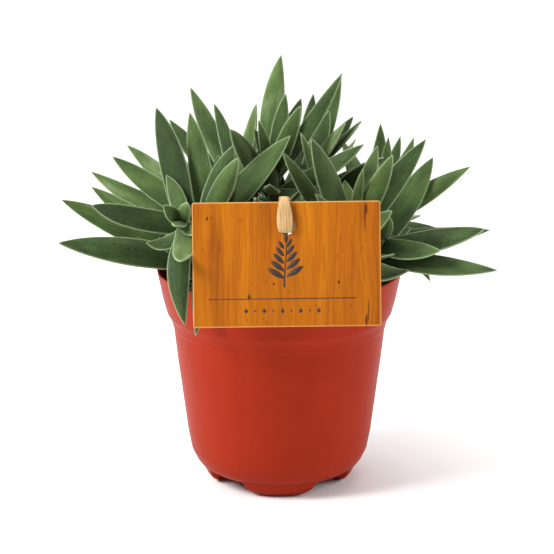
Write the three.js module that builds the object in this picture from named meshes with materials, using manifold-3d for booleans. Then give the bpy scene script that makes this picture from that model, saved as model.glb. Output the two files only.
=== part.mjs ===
// A potted succulent: crossed pairs of fleshy leaves on short stems, in a round plastic nursery pot, with a
// wood-look card that hangs from a raffia band. Millimetres, +Z up. Every shape is made in the pot's own
// frame, with the pot's axis as Z, and the finished group is moved so that its origin is under the middle
// of its box.
import * as THREE from "three";
import { mergeVertices } from "three/addons/utils/BufferGeometryUtils.js";
import Module from "manifold-3d";

const wasm = await Module();
wasm.setup();

// Driving dimensions of the pot
const potHeight = 107;
const rimRadius = 59.7;
const neckHeight = 78.6;
const neckRadius = 52.1;
const footHeight = 5.8;
const footProfile = [[26, 0], [32, 0], [36, 3.6], [38.8, 8.6], [33, 6.4], [26, 6.4]];
const footHalfAngle = { ground: 19, top: 28 };
const footCount = 4;
const wall = 1.2;
const floorThickness = 1.8;
const drain = { radius: 4, circle: 19, count: 4, sides: 8, deep: 12 };
const potSides = 32;
const touchGap = 0.3;

// Soil and stems
const soilTop = 99;
const soilMound = 2.5;
const soilEdge = 56;
const soilRings = 2;
const soilSides = 20;
const stemRadius = 3;
const stemSides = 6;
const stemSteps = 4;
const stemDepth = 18;
const holeSpare = 0.6;
const pairStep = 3.4;

// Leaves
const leafSides = 4;
const leafStations = [0, 0.3, 0.58, 0.81, 1];
const widestAt = 0.42;
const baseShare = 0.68;
const leafThickness = 0.21;
const leafTaper = { power: 2.2, round: 0.9 };
const leafCrown = { lift: 0.15, above: 0.1, below: 1.15, least: 0.25 };

// How leaves bend clear of their neighbours, the pot and the card
const clearRounds = 80;
const clearSamples = 12;
const clearThickness = 0.21;
const leafGap = 0.9;
const hardGap = 1.3;
const nearby = 16;
const freeShare = 0.45;
const stemPosts = 8;
const rimBand = 3.1;
const solidShare = 0.6;
const bendShare = 0.9;
const leastThin = 0.3;

// Label card, and the band that ties it to the tallest shoot
const card = {
  across: 86.8, tall: 57.8, thick: 1.4, corner: 1,
  x: 3.3, y: -61, z: 125.6, lean: 13, turn: 0.7,
};
const hole = { radius: 3.9, up: 17.6 };
const band = { wide: 5.6, thick: 1.5, steps: 20, tieShare: 0.3 };
const carrier = "centre";

const colours = { pot: 0xb0442a, soil: 0x3b2a1e, leaf: 0x5d7f4e, card: 0xcd7c1c, band: 0xd8b98a };

// Each shoot: where its stem leaves the soil, its crown, the way the stem's end leans, the way the upper
// sides of its leaves turn, and its pairs of leaves, outermost first. A leaf is tip x, y, z, width, bow.
const shoots = {
  front_left: { foot: [-36, -24], crown: [-46, -36, 139], lean: [-0.15, -0.8, 0.55],
    face: [-0.15, -0.8, 0.55], pairs: [
      [[-57, 0, 185, 13, 1], [-40, -56, 95, 11, -7]],
      [[-63, -27, 130, 7, 1], [-21, -25, 127, 10, 2]],
      [[-54, -15, 156, 8, 1], [-45, -71, 130, 11, 3]],
      [[-54, -44, 149, 7, 0], [-38, -47, 137, 7, 1]],
      [[-43, -41, 150, 7, 0], [-49, -44, 140, 7, 0]],
    ] },
  centre_left: { foot: [-26, -20], crown: [-35, -24, 140], lean: [-0.1, -0.55, 0.8],
    face: [-0.1, -0.8, 0.6], pairs: [
      [[4, -17, 180, 13, 1], [-84, -53, 151, 12, 3]],
      [[-43, 1, 183, 11, 0], [-42, -57, 89, 11, -9]],
      [[-19, -35, 170, 11, 1], [-47, -14, 119, 10, 2]],
      [[-18, -16, 171, 11, 2], [-36, -5, 165, 9, 1]],
    ] },
  left_low: { foot: [-40, -8], crown: [-45, -10, 117], lean: [-0.72, -0.05, 0.69],
    face: [-0.25, -0.8, 0.55], pairs: [
      [[-105, -29, 127, 14, -1], [-50, 11, 138, 10, 2]],
      [[-104, -17, 145, 12, 3], [-57, -24, 129, 8, 1]],
      [[-91, 1, 147, 10, 2], [-68, 11, 130, 10, 2]],
    ] },
  left_high: { foot: [-36, 10], crown: [-42, 10, 133], lean: [-0.6, 0.05, 0.8],
    face: [-0.35, -0.75, 0.55], pairs: [
      [[-89, 27, 154, 10, 2], [-28, 33, 146, 10, 2]],
      [[-82, 27, 155, 11, 2], [-64, 25, 146, 8, 2]],
      [[-78, 31, 157, 9, 2], [-49, 36, 157, 9, 1]],
      [[-59, 26, 152, 8, 1], [-41, 31, 148, 8, 1]],
    ] },
  mid_left: { foot: [-22, 16], crown: [-23, 22, 146], lean: [-0.2, 0.1, 0.97],
    face: [-0.1, -0.4, 0.9], pairs: [
      [[-51, 44, 172, 11, 2], [-11, 12, 185, 10, 2]],
      [[-43, 52, 186, 10, 1], [-2, 53, 172, 12, 3]],
      [[-37, 45, 176, 7, 1], [-9, 40, 162, 9, 2]],
    ] },
  centre: { foot: [1, -28], crown: [-3, -6, 158], lean: [0.05, -0.2, 0.97],
    face: [0.05, -0.75, 0.65], pairs: [
      [[-17, -30, 155, 11, 2], [40, -20, 173, 10, 3]],
      [[-22, -31, 179, 11, 1], [10, -25, 151, 11, 3]],
      [[5, 20, 206, 12, 0], [-8, -27, 158, 9, 2]],
      [[28, 24, 200, 8, 1], [-12, -23, 184, 6, 1]],
      [[10, -18, 191, 9, 0], [-13, -19, 177, 6, 1]],
      [[11, 17, 187, 9, 1], [3, -4, 194, 8, 0]],
    ] },
  mid_right: { foot: [16, 18], crown: [13, 22, 149], lean: [0.3, 0.1, 0.95],
    face: [0.2, -0.4, 0.9], pairs: [
      [[25, 53, 192, 8, 1], [35, 9, 172, 9, 2]],
      [[20, 50, 182, 9, 0], [35, 10, 175, 10, 1]],
      [[23, 40, 176, 9, 1], [37, 49, 171, 9, 1]],
      [[39, 8, 177, 8, 1], [13, 43, 171, 9, 1]],
    ] },
  right: { foot: [26, -20], crown: [36, -22, 135], lean: [0.25, -0.45, 0.86],
    face: [0.1, -0.75, 0.65], pairs: [
      [[0, -31, 172, 9, 1], [62, -49, 120, 12, 8]],
      [[9, 7, 172, 8, 1], [71, 8, 169, 12, 1]],
      [[14, -35, 178, 12, 1], [53, -34, 144, 9, 2]],
      [[51, -31, 171, 10, 1], [26, -38, 131, 9, 2]],
      [[47, -2, 168, 9, 1], [18, -30, 153, 7, 1]],
      [[42, -26, 162, 5, 0], [31, -10, 153, 7, 0]],
    ] },
  far_right: { foot: [40, -6], crown: [49, -8, 123], lean: [0.6, -0.15, 0.78],
    face: [0.2, -0.78, 0.6], pairs: [
      [[103, -34, 117, 11, 1], [55, 11, 153, 11, 2]],
      [[95, -35, 133, 12, 4], [74, 22, 157, 13, 0]],
      [[79, -25, 125, 11, 2], [45, 6, 144, 9, 2]],
      [[52, -16, 137, 8, 0], [64, 6, 125, 7, 1]],
    ] },
  back_right: { foot: [32, 24], crown: [46, 24, 126], lean: [0.5, 0.35, 0.79],
    face: [0.1, -0.7, 0.7], pairs: [
      [[104, 17, 121, 11, 3], [34, 58, 152, 11, 3]],
      [[93, 15, 154, 11, -1], [49, 46, 169, 10, 1]],
      [[78, 33, 118, 9, 1], [51, 33, 165, 8, 1]],
      [[63, 49, 161, 8, 1], [56, 55, 161, 8, 1]],
      [[52, 43, 140, 8, 1], [60, 39, 133, 8, 1]],
    ] },
  back_left: rosette([-32, 36, 130], [-0.45, 0.55, 0.7], 45, 1, 1),
  back_mid: rosette([2, 46, 134], [0.02, 0.6, 0.8], 50, 1.05, 2),
  back_end: rosette([36, 45, 126], [0.35, 0.7, 0.62], 10, 1, 3),
  front_low: rosette([18, -40, 116], [0.05, -0.3, 0.95], 35, 0.62, 4),
  front_inner: rosette([-13, -42, 115], [-0.1, -0.3, 0.95], 15, 0.58, 5),
  inner_left: rosette([-14, 2, 127], [-0.1, 0, 0.98], 5, 0.75, 6),
  inner_right: rosette([21, 0, 124], [0.1, 0, 0.98], 60, 0.8, 7),
};

function vec(list) {
  return new THREE.Vector3(...list);
}

// A shoot by the general rule: crossed pairs that rise and shorten towards the middle of the rosette
function rosette(crown, lean, firstTurn, scale, seed) {
  const tilts = [98, 76, 57, 39, 22];
  const lengths = [52, 50, 45, 35, 24];
  const widths = [12, 12, 11, 9, 7];
  const bow = 3;
  const footShare = 0.7;
  const stray = { turn: 18, tilt: 10, length: 0.12 };
  const axis = vec(lean).normalize();
  const across = new THREE.Vector3().crossVectors(axis, new THREE.Vector3(0, 1, 0)).normalize();
  const along = new THREE.Vector3().crossVectors(axis, across);
  const pairs = tilts.map((tilt, k) => [0, 1].map((half) => {
    const draw = seeded(seed, k, half);
    const turn = THREE.MathUtils.degToRad(firstTurn + 90 * k + 180 * half + draw * stray.turn);
    const lift = THREE.MathUtils.degToRad(tilt + draw * stray.tilt);
    const length = lengths[k] * scale * (1 + draw * stray.length);
    const tip = vec(crown).addScaledVector(axis, -pairStep * (tilts.length - 1 - k));
    tip.addScaledVector(axis, Math.cos(lift) * length);
    tip.addScaledVector(across, Math.cos(turn) * Math.sin(lift) * length);
    tip.addScaledVector(along, Math.sin(turn) * Math.sin(lift) * length);
    return [...tip.toArray(), (widths[k] * (1 + scale)) / 2, bow];
  }));
  return { foot: [crown[0] * footShare, crown[1] * footShare], crown, lean, face: lean, pairs };
}

// A repeatable draw between -0.5 and 0.5
function seeded(seed, row, column) {
  const value = Math.sin(seed * 12.9898 + row * 78.233 + column * 37.719) * 43758.5453;
  return value - Math.floor(value) - 0.5;
}

// Width of a leaf at a share s of its length, as a share of its greatest width
function leafWidth(s) {
  if (s < widestAt) {
    return baseShare + (1 - baseShare) * Math.sin((Math.PI / 2) * (s / widestAt));
  }
  return (1 - ((s - widestAt) / (1 - widestAt)) ** leafTaper.power) ** leafTaper.round;
}

// Each leaf starts on its stem at its own pair's height, and its middle bows away from the stem
function leavesOf(name, shoot) {
  const axis = vec(shoot.lean).normalize();
  const face = vec(shoot.face).normalize();
  return shoot.pairs.flatMap((pair, k) => pair.map(([x, y, z, width, bow]) => {
    const base = vec(shoot.crown).addScaledVector(axis, -pairStep * (shoot.pairs.length - 1 - k));
    const tip = new THREE.Vector3(x, y, z);
    const chord = tip.clone().sub(base).normalize();
    const outward = chord.clone().multiplyScalar(face.dot(chord)).sub(face).normalize();
    const middle = base.clone().add(tip).multiplyScalar(0.5).addScaledVector(outward, 2 * bow);
    return { name, base, middle, tip, width, face };
  }));
}

// Place, run and cross directions of a leaf at a share s of its length
function leafFrame(leaf, s) {
  const { base, middle, tip } = leaf;
  const place = base.clone().multiplyScalar((1 - s) ** 2);
  place.addScaledVector(middle, 2 * s * (1 - s)).addScaledVector(tip, s * s);
  const run = middle.clone().sub(base).multiplyScalar(1 - s);
  run.addScaledVector(tip, s).addScaledVector(middle, -s).normalize();
  const side = new THREE.Vector3().crossVectors(leaf.face, tip.clone().sub(base)).normalize();
  side.addScaledVector(run, -side.dot(run)).normalize();
  const up = new THREE.Vector3().crossVectors(run, side);
  return { place, side, up };
}

// Half the size of a leaf's section along a direction
function extent(sample, direction) {
  return Math.hypot(sample.half * direction.dot(sample.side), sample.thin * direction.dot(sample.up));
}

function samplesOf(leaf, index) {
  return Array.from({ length: clearSamples }, (_, k) => {
    const s = (k + 1) / clearSamples;
    const share = leafWidth(s);
    const half = (leaf.width / 2) * share;
    const thin = leaf.width * clearThickness * Math.max(share, leastThin);
    return { index, name: leaf.name, s, half, thin, push: new THREE.Vector3(), ...leafFrame(leaf, s) };
  });
}

// Neighbours push each other apart; within one rosette only their outer halves do
function pushNeighbours(samples) {
  const apart = new THREE.Vector3();
  for (const one of samples) {
    let count = 0;
    for (const other of samples) {
      if (one.index === other.index) continue;
      apart.subVectors(one.place, other.place);
      const distance = apart.length();
      if (distance >= nearby) continue;
      if (one.name === other.name && (one.s <= freeShare || other.s <= freeShare)) continue;
      apart.divideScalar(distance);
      const overlap = extent(one, apart) + extent(other, apart) + leafGap - distance;
      if (overlap <= 0) continue;
      one.push.addScaledVector(apart, overlap * 0.5);
      count += 1;
    }
    one.push.divideScalar(Math.max(count, 1));
  }
}

// Stems of other shoots stand still, so a leaf takes the whole push
function pushStems(samples, posts) {
  const apart = new THREE.Vector3();
  for (const one of samples) {
    const total = new THREE.Vector3();
    let count = 0;
    for (const post of posts) {
      if (one.name === post.name) continue;
      apart.subVectors(one.place, post.place);
      const distance = apart.length();
      if (distance >= nearby) continue;
      apart.divideScalar(distance);
      const overlap = extent(one, apart) + stemRadius + hardGap - distance;
      if (overlap <= 0) continue;
      total.addScaledVector(apart, overlap);
      count += 1;
    }
    one.push.addScaledVector(total, 1 / Math.max(count, 1));
  }
}

// The soil, the rim, the pot's side and the back of the card push leaves out of themselves
function pushSolids(samples) {
  const lean = THREE.MathUtils.degToRad(card.lean);
  const back = new THREE.Vector3(0, Math.cos(lean), -Math.sin(lean));
  const upCard = new THREE.Vector3(0, Math.sin(lean), Math.cos(lean));
  const centre = new THREE.Vector3(card.x, card.y, card.z);
  const vertical = new THREE.Vector3(0, 0, 1);
  for (const one of samples) {
    const { place } = one;
    const radius = Math.hypot(place.x, place.y);
    const outward = new THREE.Vector3(place.x / radius, place.y / radius, 0);
    const tall = extent(one, vertical) + hardGap;
    const deep = extent(one, outward) + hardGap;
    const overRim = radius < rimRadius + deep && radius > rimRadius - rimBand - deep;
    const floor = (overRim ? potHeight : soilTop) + tall;
    if (radius < rimRadius - 2 && place.z < floor) {
      one.push.z += (floor - place.z) * solidShare;
    }
    if (radius >= rimRadius - 2 && place.z < potHeight + tall && rimRadius + deep > radius) {
      one.push.addScaledVector(outward, (rimRadius + deep - radius) * solidShare);
    }
    const offset = place.clone().sub(centre);
    const behind = Math.abs(offset.x) < card.across / 2 + one.half
      && Math.abs(offset.dot(upCard)) < card.tall / 2 + one.half;
    const lack = extent(one, back) + 2 * hardGap - offset.dot(back);
    if (behind && lack > 0) {
      one.push.addScaledVector(back, lack * solidShare);
    }
  }
}

// A push near a leaf's tip bends the whole leaf, and one near its base hardly moves it
function bendClear(leaves) {
  const posts = Object.entries(shoots).flatMap(([name, shoot]) => {
    return stemCurve(shoot).getPoints(stemPosts).map((place) => ({ name, place }));
  });
  for (let round = 0; round < clearRounds; round += 1) {
    const samples = leaves.flatMap(samplesOf);
    pushNeighbours(samples);
    pushStems(samples, posts);
    pushSolids(samples);
    leaves.forEach((leaf, index) => {
      const own = samples.slice(index * clearSamples, (index + 1) * clearSamples);
      for (const [point, weight] of [[leaf.tip, (s) => s * s], [leaf.middle, (s) => 2 * s * (1 - s)]]) {
        const total = new THREE.Vector3();
        let share = 0;
        for (const { push, s } of own) {
          if (push.lengthSq() === 0) continue;
          total.addScaledVector(push, weight(s));
          share += weight(s);
        }
        point.addScaledVector(total, bendShare / Math.max(share, 0.5));
      }
    });
  }
}

// Closed solids for joins and cuts
function toSolid(geometry) {
  const bare = geometry.clone();
  bare.deleteAttribute("normal");
  bare.deleteAttribute("uv");
  const merged = mergeVertices(bare, 1e-4);
  return new wasm.Manifold(new wasm.Mesh({
    numProp: 3,
    vertProperties: new Float32Array(merged.attributes.position.array),
    triVerts: new Uint32Array(merged.index.array),
  }));
}

function toGeometry(solid) {
  const mesh = solid.getMesh();
  const geometry = new THREE.BufferGeometry();
  geometry.setAttribute("position", new THREE.BufferAttribute(new Float32Array(mesh.vertProperties), 3));
  geometry.setIndex(new THREE.BufferAttribute(new Uint32Array(mesh.triVerts), 1));
  return geometry;
}

function piece(name, geometry, color, roughness) {
  const flat = geometry.index ? geometry.toNonIndexed() : geometry;
  flat.computeVertexNormals();
  const mesh = new THREE.Mesh(flat, new THREE.MeshStandardMaterial({ color, roughness, metalness: 0 }));
  mesh.name = name;
  return mesh;
}

// A leaf is a cone bent along its curve, nearly flat above and rounded below
function leafSolid(leaf) {
  const geometry = new THREE.ConeGeometry(1, 1, leafSides, leafStations.length - 1);
  const position = geometry.attributes.position;
  for (let i = 0; i < position.count; i += 1) {
    const s = leafStations[Math.round((position.getY(i) + 0.5) * (leafStations.length - 1))];
    const angle = Math.atan2(position.getX(i), position.getZ(i)) + Math.PI / 2;
    const spread = s === 1 || Math.hypot(position.getX(i), position.getZ(i)) < 1e-6 ? 0 : 1;
    const share = leafWidth(s);
    const half = (leaf.width / 2) * share;
    const thin = leaf.width * leafThickness * Math.max(share, leafCrown.least);
    const swell = Math.sin(angle) > 0 ? leafCrown.above : leafCrown.below;
    const height = leafCrown.lift + swell * Math.sin(angle);
    const { place, side, up } = leafFrame(leaf, s);
    place.addScaledVector(side, spread * Math.cos(angle) * half);
    place.addScaledVector(up, spread * height * thin);
    position.setXYZ(i, place.x, place.y, place.z);
  }
  return toSolid(geometry);
}

function disc(radius, sides) {
  const points = Array.from({ length: sides }, (_, k) => {
    const turn = (2 * Math.PI * k) / sides;
    return new THREE.Vector2(radius * Math.cos(turn), radius * Math.sin(turn));
  });
  return new THREE.Shape(points);
}

function tube(shape, curve, steps) {
  return toSolid(new THREE.ExtrudeGeometry(shape, { extrudePath: curve, steps, bevelEnabled: false }));
}

// A stem rises straight out of the soil and ends along its shoot's lean
function stemCurve(shoot) {
  const [x, y] = shoot.foot;
  const axis = vec(shoot.lean).normalize();
  const crown = vec(shoot.crown);
  return new THREE.CubicBezierCurve3(
    new THREE.Vector3(x, y, soilTop),
    new THREE.Vector3(x, y, soilTop + 12),
    crown.clone().addScaledVector(axis, -22),
    crown.clone().addScaledVector(axis, 1),
  );
}

function stemSolid(shoot) {
  const upper = tube(disc(stemRadius, stemSides), stemCurve(shoot), stemSteps);
  const [x, y] = shoot.foot;
  const lower = new THREE.CylinderGeometry(stemRadius, stemRadius, stemDepth + 4, stemSides);
  lower.rotateX(Math.PI / 2);
  lower.translate(x, y, soilTop + 2 - stemDepth / 2);
  return upper.add(toSolid(lower));
}

// Fusing can seal a small hollow between leaves: the largest body is the shoot with that hollow filled
function shootSolid(shoot, leaves) {
  const fused = wasm.Manifold.union([stemSolid(shoot), ...leaves.map(leafSolid)]).simplify(0.05);
  return fused.decompose().reduce((most, body) => (body.volume() > most.volume() ? body : most));
}

// Pot: one lathe outline, up the outside and down the inside
function potOutline() {
  const outside = [
    [32.5, footHeight], [35.4, 6.4], [39.4, 8.8], [41.2, 11.2], [43.5, 16], [45.2, 25], [49.9, 61.6],
    [neckRadius, neckHeight], [53.3, 83], [55.1, 86], [56.9, 93], [rimRadius, potHeight],
  ];
  const inside = outside.slice(3).reverse().map(([r, z]) => [r - wall, z]);
  inside.push([35, footHeight + floorThickness]);
  return { outside, inside };
}

function lathe(points, sides) {
  return new THREE.LatheGeometry(points.map(([r, z]) => new THREE.Vector2(r, z)), sides).rotateX(Math.PI / 2);
}

// A foot: its outer side flares up into the pot's curved wall, and its flanks spread upwards
function footSolid(index) {
  const shape = new THREE.Shape(footProfile.map(([r, z]) => new THREE.Vector2(r, z)));
  const geometry = new THREE.ExtrudeGeometry(shape, { depth: 1, steps: 3, bevelEnabled: false });
  const position = geometry.attributes.position;
  const middle = -90 + (index * 360) / footCount;
  for (let i = 0; i < position.count; i += 1) {
    const radius = position.getX(i);
    const height = position.getY(i);
    const { ground, top } = footHalfAngle;
    const half = THREE.MathUtils.lerp(ground, top, Math.min(height / footHeight, 1));
    const angle = THREE.MathUtils.degToRad(middle + half * (1 - 2 * position.getZ(i)));
    position.setXYZ(i, radius * Math.cos(angle), radius * Math.sin(angle), height);
  }
  return toSolid(geometry);
}

function drainSolid(x, y) {
  const geometry = new THREE.CylinderGeometry(drain.radius, drain.radius, drain.deep, drain.sides);
  geometry.rotateX(Math.PI / 2);
  geometry.translate(x, y, footHeight);
  return toSolid(geometry);
}

function potSolid() {
  const { outside, inside } = potOutline();
  const floorTop = footHeight + floorThickness;
  const outline = [[0, footHeight], ...outside, ...inside, [0, floorTop]];
  const feet = Array.from({ length: footCount }, (_, k) => footSolid(k));
  const drains = Array.from({ length: drain.count }, (_, k) => {
    const turn = Math.PI / 4 + (k * 2 * Math.PI) / drain.count;
    return drainSolid(drain.circle * Math.cos(turn), drain.circle * Math.sin(turn));
  });
  return wasm.Manifold.union([toSolid(lathe(outline, potSides)), ...feet])
    .subtract(wasm.Manifold.union([drainSolid(0, 0), ...drains]));
}

// Soil fills the pot with a low mound, and each stem stands in a plain hole
function soilSolid() {
  const floorTop = footHeight + floorThickness;
  const side = potOutline().inside.filter(([, z]) => z < soilTop - 2 && z > floorTop + 1);
  const outline = [[0, floorTop + touchGap], [33.5, floorTop + touchGap]];
  outline.push(...side.reverse().map(([r, z]) => [r - touchGap * 1.2, z + 0.2]));
  outline.push([soilEdge, soilTop - 2], [soilEdge - 2, soilTop - 1]);
  for (let k = soilRings; k >= 0; k -= 1) {
    const share = k / (soilRings + 1);
    outline.push([soilEdge * share, soilTop - 1.6 + soilMound * (1 - share * share)]);
  }
  const holes = Object.values(shoots).map(({ foot }) => {
    const radius = stemRadius + holeSpare;
    const geometry = new THREE.CylinderGeometry(radius, radius, stemDepth + 8, stemSides);
    geometry.rotateX(Math.PI / 2);
    geometry.translate(foot[0], foot[1], soilTop + 3.5 - stemDepth / 2);
    return toSolid(geometry);
  });
  return toSolid(lathe(outline, soilSides)).subtract(wasm.Manifold.union(holes));
}

// The card's own frame: x across, y up the card, z out of its front
function cardPlace() {
  const place = new THREE.Matrix4().makeTranslation(card.x, card.y, card.z);
  const stand = new THREE.Matrix4().makeRotationX(Math.PI / 2 - THREE.MathUtils.degToRad(card.lean));
  const turn = new THREE.Matrix4().makeRotationZ(THREE.MathUtils.degToRad(card.turn));
  return place.multiply(stand).multiply(turn);
}

function cardGeometry() {
  const { across, tall, thick, corner } = card;
  const [x, y] = [across / 2, tall / 2];
  const shape = new THREE.Shape();
  shape.moveTo(-x + corner, -y);
  shape.lineTo(x - corner, -y);
  shape.quadraticCurveTo(x, -y, x, -y + corner);
  shape.lineTo(x, y - corner);
  shape.quadraticCurveTo(x, y, x - corner, y);
  shape.lineTo(-x + corner, y);
  shape.quadraticCurveTo(-x, y, -x, y - corner);
  shape.lineTo(-x, -y + corner);
  shape.quadraticCurveTo(-x, -y, -x + corner, -y);
  const opening = new THREE.Path();
  opening.absarc(0, hole.up, hole.radius, 0, 2 * Math.PI, true);
  shape.holes.push(opening);
  const geometry = new THREE.ExtrudeGeometry(shape, { depth: thick, bevelEnabled: false, curveSegments: 8 });
  geometry.translate(0, 0, -thick / 2);
  geometry.applyMatrix4(cardPlace());
  return geometry;
}

// Band: a loop through the hole and over the card's top edge, a knot behind it, and a tail to a stem
function bandSolid() {
  const { wide, thick } = band;
  const oval = new THREE.Shape();
  oval.absellipse(0, 0, thick / 2, wide / 2, 0, 2 * Math.PI, false);
  const points = oval.getPoints(3).slice(0, -1);
  const section = new THREE.Shape(points);
  const place = cardPlace();
  const top = card.tall / 2;
  const gap = card.thick / 2 + thick / 2 + touchGap;
  const loop = new THREE.CatmullRomCurve3([
    [0, top - 7, -gap - 2.4], [-0.6, top + 0.5, -gap - 0.3], [-1, top + 1.4 + touchGap, 0],
    [-0.9, top - 0.6, gap + 0.5], [-0.5, top - 6, gap + 0.7], [-0.2, hole.up + 0.4, gap + 0.2],
    [0, hole.up - 0.8, 0], [0, hole.up - 0.2, -gap - 0.6], [0, top - 7.6, -gap - 2.4],
  ].map((point) => vec(point).applyMatrix4(place)));
  const knotPlace = vec([0, top - 7.3, -gap - 2.6]).applyMatrix4(place);
  const knot = new THREE.SphereGeometry(1, 8, 6);
  knot.scale(3.4, 2.2, 2.6);
  knot.translate(...knotPlace.toArray());
  const stem = stemCurve(shoots[carrier]);
  const ring = stem.getPoint(band.tieShare);
  const along = stem.getTangent(band.tieShare);
  const ringRadius = stemRadius + touchGap + 1;
  const front = vec([0, -1, 0]).addScaledVector(along, along.y).normalize();
  const ringFront = ring.clone().addScaledVector(front, ringRadius);
  const tail = new THREE.CatmullRomCurve3([
    knotPlace, ringFront.clone().lerp(knotPlace, 0.5).add(vec([0, 0, -2])), ringFront,
  ]);
  const tie = new THREE.TorusGeometry(ringRadius, 0.9, 6, 16);
  tie.applyQuaternion(new THREE.Quaternion().setFromUnitVectors(new THREE.Vector3(0, 0, 1), along));
  tie.translate(...ring.toArray());
  return wasm.Manifold.union([
    tube(section, loop, band.steps), toSolid(knot), tube(disc(1.1, 6), tail, 5), toSolid(tie),
  ]);
}

// The whole plant, with its leaves bent clear of each other first
const leaves = Object.entries(shoots).flatMap(([name, shoot]) => leavesOf(name, shoot));
bendClear(leaves);

const object = new THREE.Group();
object.add(piece("pot", toGeometry(potSolid()), colours.pot, 0.45));
object.add(piece("soil", toGeometry(soilSolid()), colours.soil, 0.95));
object.add(piece("label_card", cardGeometry(), colours.card, 0.6));
object.add(piece("raffia_band", toGeometry(bandSolid()), colours.band, 0.8));
for (const [name, shoot] of Object.entries(shoots)) {
  const own = leaves.filter((leaf) => leaf.name === name);
  object.add(piece("shoot_" + name, toGeometry(shootSolid(shoot, own)), colours.leaf, 0.8));
}

// The origin goes under the middle of the whole thing's box, at the bottom of the pot's feet
const middleOfBox = new THREE.Box3().setFromObject(object, true).getCenter(new THREE.Vector3());
object.position.set(-middleOfBox.x, -middleOfBox.y, 0);

export default object;
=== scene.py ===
# A potted succulent in its nursery pot, dressed for the final look. Lengths in this script are
# millimetres in the pot's own frame, with the pot's axis as Z. Gather.piece turns them into metres in
# the row's frame.
import math

import bpy
import numpy as np
from mathutils import Matrix, Vector


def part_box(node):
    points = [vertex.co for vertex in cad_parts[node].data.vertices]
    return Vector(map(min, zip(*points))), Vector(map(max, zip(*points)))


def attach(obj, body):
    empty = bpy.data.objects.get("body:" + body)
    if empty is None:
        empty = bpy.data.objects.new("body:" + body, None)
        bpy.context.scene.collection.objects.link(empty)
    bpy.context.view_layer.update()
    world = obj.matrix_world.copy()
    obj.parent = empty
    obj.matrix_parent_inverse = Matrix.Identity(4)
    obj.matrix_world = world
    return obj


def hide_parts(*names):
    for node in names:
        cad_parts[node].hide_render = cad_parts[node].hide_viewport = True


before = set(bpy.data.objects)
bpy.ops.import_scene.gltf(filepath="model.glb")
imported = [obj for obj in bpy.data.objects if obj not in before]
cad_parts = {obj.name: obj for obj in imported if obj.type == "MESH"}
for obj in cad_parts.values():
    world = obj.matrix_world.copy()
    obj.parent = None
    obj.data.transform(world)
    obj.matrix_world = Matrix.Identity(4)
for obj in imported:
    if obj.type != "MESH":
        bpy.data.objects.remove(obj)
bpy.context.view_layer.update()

MM = 0.001
pot_low, pot_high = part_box("pot")
POT_PLACE = np.array([(pot_low.x + pot_high.x) / 2, (pot_low.y + pot_high.y) / 2, 0.0])

# Pot
POT_HEIGHT = 107
RIM_RADIUS = 59.7
NECK_HEIGHT = 78.6
NECK_RADIUS = 52.1
FOOT_HEIGHT = 5.8
FOOT_PROFILE = [
    (29, 0), (32, 0), (34.5, 1.7), (36.2, 3.6), (38.8, 8.6), (33, 6.4), (26, 6.4), (26, 0), (29, 0),
]
FOOT_GROUND, FOOT_TOP = math.radians(19), math.radians(28)
FOOT_COUNT = 4
WALL = 1.2
FLOOR_THICKNESS = 1.8
DRAIN_RADIUS, DRAIN_CIRCLE, DRAIN_COUNT = 4, 19, 4
TOUCH_GAP = 0.3

# Soil and stems
SOIL_TOP = 99
SOIL_MOUND = 2.5
SOIL_EDGE = 56
STEM_RADIUS = 3
STEM_DEPTH = 18
STEM_RISE, STEM_LEAD = 12, 22
PAIR_STEP = 3.4

# Leaves
WIDEST_AT = 0.42
BASE_SHARE = 0.68
LEAF_THICKNESS = 0.21
TAPER_POWER, TAPER_ROUND = 2.2, 0.9
SECTION_LIFT, SECTION_ABOVE, SECTION_BELOW = 0.15, 0.1, 1.15
LEAST_SHARE = 0.25

# How leaves bend clear of their neighbours, the pot and the card
CLEAR_ROUNDS, CLEAR_SAMPLES = 80, 12
CLEAR_THICKNESS, LEAST_THIN = 0.21, 0.3
LEAF_GAP, HARD_GAP, NEARBY = 0.9, 1.3, 16
FREE_SHARE, SOLID_SHARE, BEND_SHARE = 0.45, 0.6, 0.9
STEM_POSTS = 8
RIM_BAND, RIM_INSIDE = 3.1, 2

# Label card and band
CARD_ACROSS, CARD_TALL, CARD_THICK, CARD_CORNER = 86.8, 57.8, 1.4, 1
CARD_PLACE = np.array([3.3, -61, 125.6])
CARD_LEAN, CARD_TURN = math.radians(13), math.radians(0.7)
HOLE_RADIUS, HOLE_UP = 3.9, 17.6
BAND_WIDE, BAND_THICK = 5.6, 1.5
CARRIER, TIE_SHARE = "centre", 0.3

# The photograph's view of the pot
PHOTO_SIDE = 554
FOCAL_PIXELS = 2460
CAMERA_DISTANCE = 1200
CAMERA_RISE = math.radians(16.2)
CAMERA_TARGET = np.array([-1.17, 0, 101.8])


def unit(v):
    return v / np.linalg.norm(v, axis=-1, keepdims=True)


def seeded(seed, row, column):
    value = math.sin(seed * 12.9898 + row * 78.233 + column * 37.719) * 43758.5453
    return value - math.floor(value) - 0.5


# A shoot: the foot and crown of its stem, the way the stem's end leans, the way the upper sides of its
# leaves turn, and its leaves, two to a pair, outermost first. A leaf is tip x, y, z, width, bow.
def shoot_of(foot, crown, lean, face, *leaves):
    axis, face = (unit(np.array(way, float)) for way in (lean, face))
    pairs = list(zip(leaves[::2], leaves[1::2]))
    return dict(foot=foot, crown=np.array(crown, float), axis=axis, face=face, pairs=pairs)


# Where a pair of leaves sits on the stem
def pair_base(crown, axis, count, k):
    return crown - axis * PAIR_STEP * (count - 1 - k)


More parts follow.
